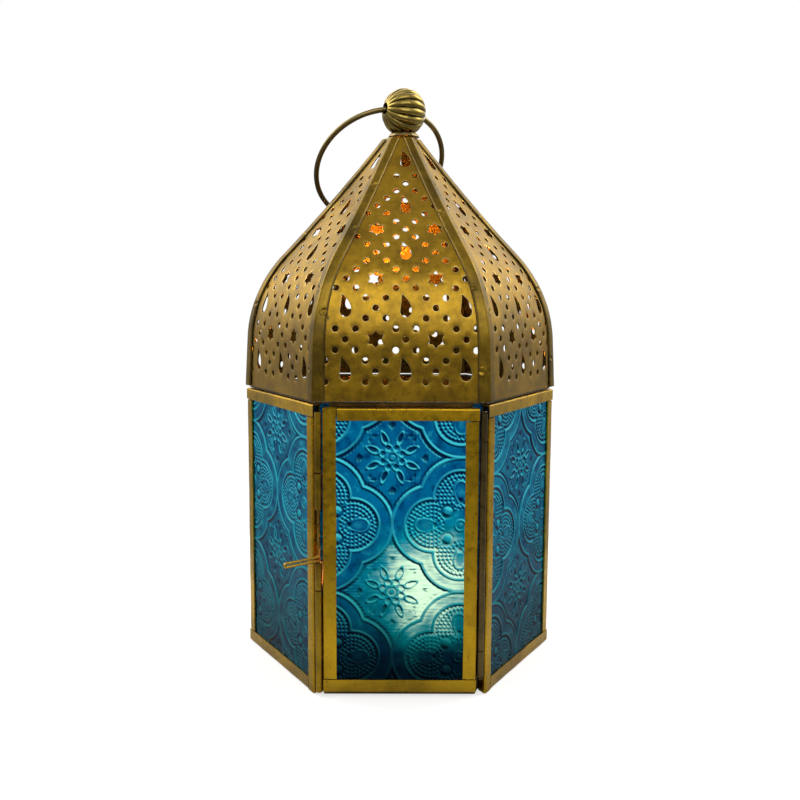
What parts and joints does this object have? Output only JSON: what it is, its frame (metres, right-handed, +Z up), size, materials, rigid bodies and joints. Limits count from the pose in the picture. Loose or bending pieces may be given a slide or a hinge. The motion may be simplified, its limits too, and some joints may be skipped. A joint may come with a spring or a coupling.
{
  "type": "candle lantern",
  "caption": "Hexagonal brass candle lantern with patterned blue glass panes, a hinged door with a slide bolt, a pierced onion-shaped dome and a hanging ring.",
  "frame": {"origin": "middle of the flat underside of the base plate", "axes": "+Z up; -Y out through the door; +X to the door's hinge side"},
  "size_m": [0.113, 0.1058, 0.2018],
  "materials": {
    "aged_brass": "aged, satin, with dark patina in the seams",
    "dark_brass": "darkened, dull",
    "blue_glass": "deep cyan blue, pressed relief",
    "tealight_metal": "thin drawn foil, satin",
    "wax": "soft white wax",
    "wick": "charred cotton"
  },
  "bodies": {
    "lantern": {"base_plate": "dark_brass", "roof_ring": "dark_brass", "right_front_long_stile": "aged_brass", "right_front_short_stile": "aged_brass", "right_front_top_rail": "aged_brass", "right_front_bottom_rail": "aged_brass", "right_front_glass": "blue_glass", "right_back_long_stile": "aged_brass", "right_back_short_stile": "aged_brass", "right_back_top_rail": "aged_brass", "right_back_bottom_rail": "aged_brass", "right_back_glass": "blue_glass", "back_long_stile": "aged_brass", "back_short_stile": "aged_brass", "back_top_rail": "aged_brass", "back_bottom_rail": "aged_brass", "back_glass": "blue_glass", "left_back_long_stile": "aged_brass", "left_back_short_stile": "aged_brass", "left_back_top_rail": "aged_brass", "left_back_bottom_rail": "aged_brass", "left_back_glass": "blue_glass", "left_front_long_stile": "aged_brass", "left_front_short_stile": "aged_brass", "left_front_top_rail": "aged_brass", "left_front_bottom_rail": "aged_brass", "left_front_glass": "blue_glass", "hinge_barrel": "aged_brass", "latch_keeper": "aged_brass", "latch_foot_tube": "aged_brass", "hinge_pin": "dark_brass", "gore_front": "aged_brass", "gore_right_front": "aged_brass", "gore_right_back": "aged_brass", "gore_back": "aged_brass", "gore_left_back": "aged_brass", "gore_left_front": "aged_brass", "rib_front_right": "aged_brass", "rib_right": "aged_brass", "rib_back_right": "aged_brass", "rib_back_left": "aged_brass", "rib_left": "aged_brass", "rib_front_left": "aged_brass", "finial_seat": "dark_brass", "finial_bead": "aged_brass"},
    "door": {"door_latch_stile": "aged_brass", "door_hinge_stile": "aged_brass", "door_top_rail": "aged_brass", "door_bottom_rail": "aged_brass", "door_glass": "blue_glass", "door_lower_hinge_knuckle": "aged_brass", "door_upper_hinge_knuckle": "aged_brass", "door_lower_latch_knuckle": "aged_brass", "door_upper_latch_knuckle": "aged_brass"},
    "latch_bolt": {"latch_bolt": "dark_brass"},
    "ring": {"hanging_ring": "dark_brass"},
    "tealight": {"tealight_cup": "tealight_metal", "tealight_wax": "wax", "wick": "wick", "wick_sustainer": "tealight_metal"}
  },
  "joints": [
    {"name": "door_hinge", "type": "hinge", "parent": "lantern", "child": "door", "pos_m": [0.0263, -0.0489, 0.0475], "axis": [0, 0, 1], "range_deg": [0, 135]},
    {"name": "latch_slide", "type": "slide", "parent": "door", "child": "latch_bolt", "axis": [0, 0, 1], "range_m": [0, 0.0145]},
    {"name": "ring_swing", "type": "hinge", "parent": "lantern", "child": "ring", "pos_m": [0.0008, 0, 0.1936], "axis": [0.8861, 0.4515, -0.1045], "range_deg": [0, 278]},
    {"name": "tealight_lift", "type": "slide", "parent": "lantern", "child": "tealight", "axis": [0, 0, 1], "range_m": [0, 0.03]}
  ]
}
